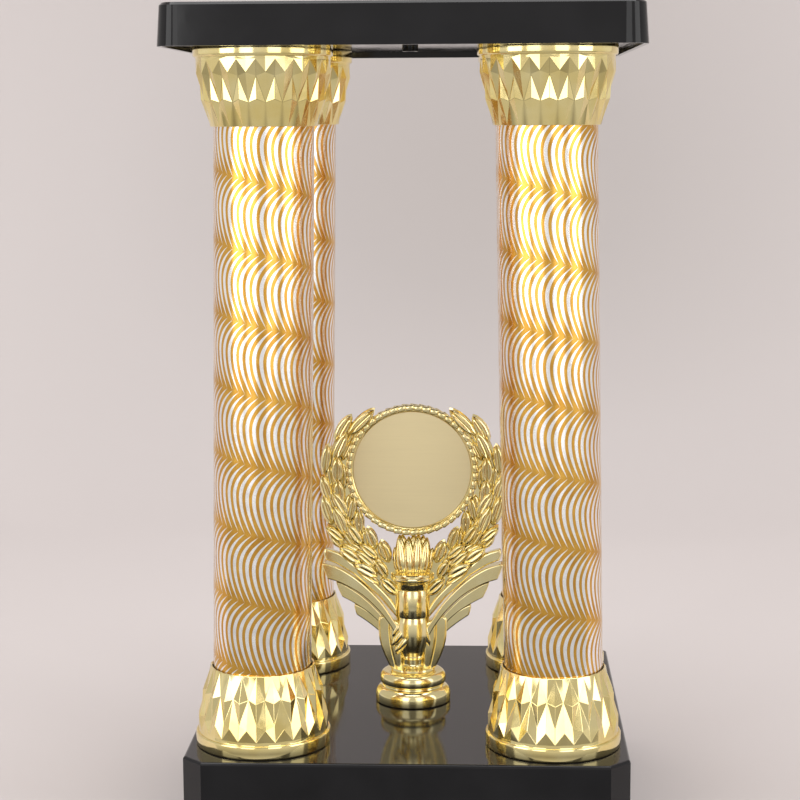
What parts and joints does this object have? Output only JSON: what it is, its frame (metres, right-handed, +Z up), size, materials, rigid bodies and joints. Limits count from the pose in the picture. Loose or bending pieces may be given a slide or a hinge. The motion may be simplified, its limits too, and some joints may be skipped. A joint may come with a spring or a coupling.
{
  "type": "column trophy",
  "caption": "Column trophy tier: black base and tray joined by patterned gold columns, with a wreath-and-torch disc holder between them.",
  "frame": {"origin": "on the ground, under the middle of the base", "axes": "+Z up; the holder's disc faces -Y, which is the front; +X is to the right seen from the front"},
  "size_m": [0.182, 0.182, 0.3351],
  "materials": {
    "black_gloss": "gloss",
    "black_matte": "matte",
    "gold_plated_plastic": "polished",
    "tube_plastic": "gloss",
    "printed_film": "gloss",
    "champagne_disc": "satin",
    "zinc_steel": "satin",
    "ballast_steel": "matte",
    "pad_rubber": "matte"
  },
  "bodies": {
    "tier": {"base_shell": "black_gloss", "tray_shell": "black_gloss", "tray_floor": "black_gloss", "base_weight": "ballast_steel", "base_cover": "black_matte", "foot_pads": "pad_rubber", "cover_screws": "zinc_steel", "base_washers": "zinc_steel", "base_nuts": "zinc_steel", "tray_washers": "zinc_steel", "tray_nuts": "zinc_steel", "lower_cap_front_left": "gold_plated_plastic", "upper_cap_front_left": "gold_plated_plastic", "column_tube_front_left": "tube_plastic", "column_film_front_left": "printed_film", "tie_rod_front_left": "zinc_steel", "lower_cap_front_right": "gold_plated_plastic", "upper_cap_front_right": "gold_plated_plastic", "column_tube_front_right": "tube_plastic", "column_film_front_right": "printed_film", "tie_rod_front_right": "zinc_steel", "lower_cap_back_left": "gold_plated_plastic", "upper_cap_back_left": "gold_plated_plastic", "column_tube_back_left": "tube_plastic", "column_film_back_left": "printed_film", "tie_rod_back_left": "zinc_steel", "lower_cap_back_right": "gold_plated_plastic", "upper_cap_back_right": "gold_plated_plastic", "column_tube_back_right": "tube_plastic", "column_film_back_right": "printed_film", "tie_rod_back_right": "zinc_steel"},
    "holder": {"holder_frame": "gold_plated_plastic", "centre_disc": "champagne_disc", "holder_foot": "gold_plated_plastic", "holder_stud": "zinc_steel", "holder_washer": "zinc_steel", "holder_nut": "zinc_steel"}
  },
  "joints": [
    {"name": "holder_turn", "type": "hinge", "parent": "tier", "child": "holder", "pos_m": [0, 0, 0.045], "axis": [0, 0, 1], "continuous": true}
  ]
}
